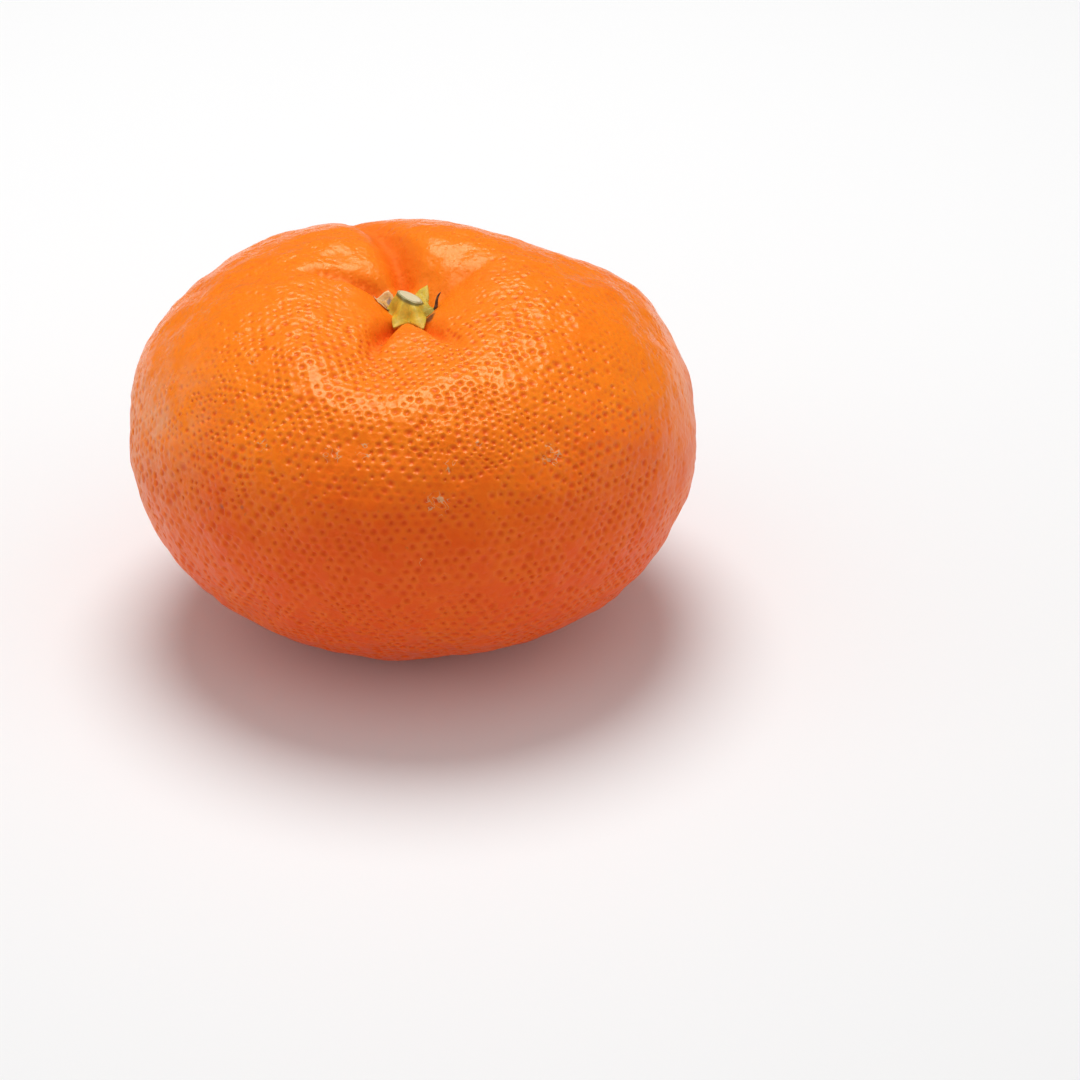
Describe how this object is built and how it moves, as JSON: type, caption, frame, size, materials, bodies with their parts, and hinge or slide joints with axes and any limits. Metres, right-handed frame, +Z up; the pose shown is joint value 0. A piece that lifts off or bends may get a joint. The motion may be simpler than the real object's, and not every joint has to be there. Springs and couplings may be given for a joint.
{
  "type": "mandarin",
  "caption": "Whole unpeeled mandarin orange: squat fruit in pitted orange peel, with a star-shaped calyx, a cut stem end and withered sepals in its stem hollow.",
  "frame": {"origin": "middle of the flat ring round the blossom end that the fruit stands on", "axes": "+Z up, from the blossom end to the stem end; +X to the right and -Y to the front, where the stem hollow opens out"},
  "size_m": [0.0738, 0.0736, 0.049],
  "materials": {
    "peel": "satin",
    "calyx": "satin",
    "cut_stem": "matte",
    "dry_tip": "matte",
    "dry_sepal": "matte"
  },
  "bodies": {
    "root": {"fruit": "peel", "calyx": "calyx", "stem_stub": "cut_stem", "dry_sepal_tip": "dry_tip", "dry_sepal": "dry_sepal"}
  },
  "joints": []
}
